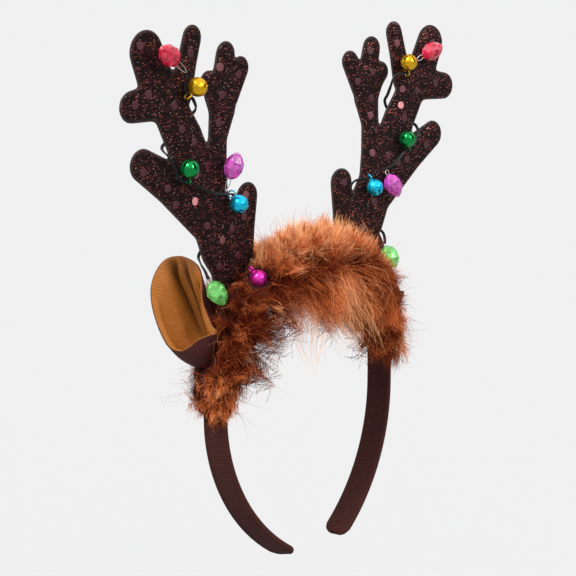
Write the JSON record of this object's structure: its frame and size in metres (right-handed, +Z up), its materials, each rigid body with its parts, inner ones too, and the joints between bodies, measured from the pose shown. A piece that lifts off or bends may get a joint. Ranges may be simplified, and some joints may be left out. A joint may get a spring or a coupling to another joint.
{
  "type": "reindeer antler headband",
  "caption": "Costume headband with flat padded antlers, cupped ears, a fur trim, and bells and beads threaded on cords.",
  "frame": {"origin": "where the crown rests on the head: the middle of the band's inner face at its top", "axes": "+Z up as worn, the wearer looks towards -Y, and +X points to the side of the nodes named right"},
  "size_m": [0.2402, 0.0611, 0.2765],
  "materials": {
    "ribbon": "matt dark brown ribbed ribbon",
    "glitter_fabric": "near-black brown cloth with copper flecks and plum sequins",
    "brown_satin": "ribbed aubergine-brown satin",
    "tan_satin": "ribbed caramel satin",
    "fur": "fluffy rust-brown down",
    "cord": "black, slightly glossy",
    "gold_metal": "bright gold metallic",
    "green_metal": "bright green metallic",
    "blue_metal": "bright blue metallic",
    "magenta_metal": "bright magenta metallic",
    "red_bead": "clear red, polished facets",
    "purple_bead": "clear purple, polished facets",
    "lime_bead": "clear light green, polished facets"
  },
  "bodies": {
    "root": {"band": "ribbon", "antler_left": "glitter_fabric", "antler_right": "glitter_fabric", "ear_outer_left": "brown_satin", "ear_outer_right": "brown_satin", "ear_lining_left": "tan_satin", "ear_lining_right": "tan_satin", "fur_trim": "fur", "cord_left": "cord", "cord_right": "cord", "bell_gold_left": "gold_metal", "bell_gold_right": "gold_metal", "bell_green_left": "green_metal", "bell_green_right": "green_metal", "bell_blue_left": "blue_metal", "bell_blue_right": "blue_metal", "bell_magenta_left": "magenta_metal", "bead_red_left": "red_bead", "bead_red_right": "red_bead", "bead_purple_left": "purple_bead", "bead_purple_right": "purple_bead", "bead_lime_left": "lime_bead", "bead_lime_right": "lime_bead"}
  },
  "joints": []
}
